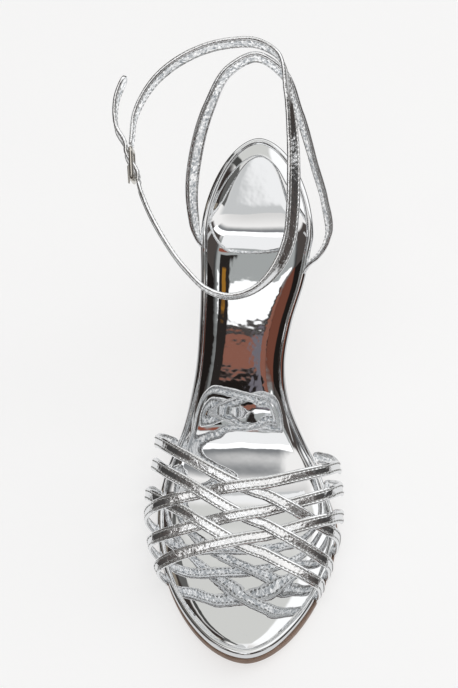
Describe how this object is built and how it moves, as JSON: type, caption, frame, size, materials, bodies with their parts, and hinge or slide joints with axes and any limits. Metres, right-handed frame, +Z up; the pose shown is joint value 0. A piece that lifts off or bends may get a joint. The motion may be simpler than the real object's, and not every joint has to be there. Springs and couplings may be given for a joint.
{
  "type": "strappy ankle strap heeled sandal",
  "caption": "Right high heeled sandal in silver mirror leather, with woven forefoot straps, a heel strap and a slack buckled ankle strap.",
  "frame": {"origin": "on the floor under the middle of the shoe's box", "axes": "+Y from toe to heel, +X towards the inner (arch) side of the right foot, +Z up"},
  "size_m": [0.0976, 0.2148, 0.1557],
  "materials": {
    "sole_leather": "smooth tan sole leather",
    "silver_sock": "mirror silver foil leather",
    "silver_straps": "mirror silver foil leather, stitched edges",
    "heel_cover": "mirror silver foil leather",
    "tip_rubber": "matt",
    "buckle_metal": "polished"
  },
  "bodies": {
    "root": {"outsole": "sole_leather", "insole": "silver_sock", "vamp_straps": "silver_straps", "heel_strap": "silver_straps", "ankle_strap": "silver_straps", "buckle_frame": "buckle_metal", "buckle_prong": "buckle_metal", "heel": "heel_cover", "heel_tip": "tip_rubber"}
  },
  "joints": []
}
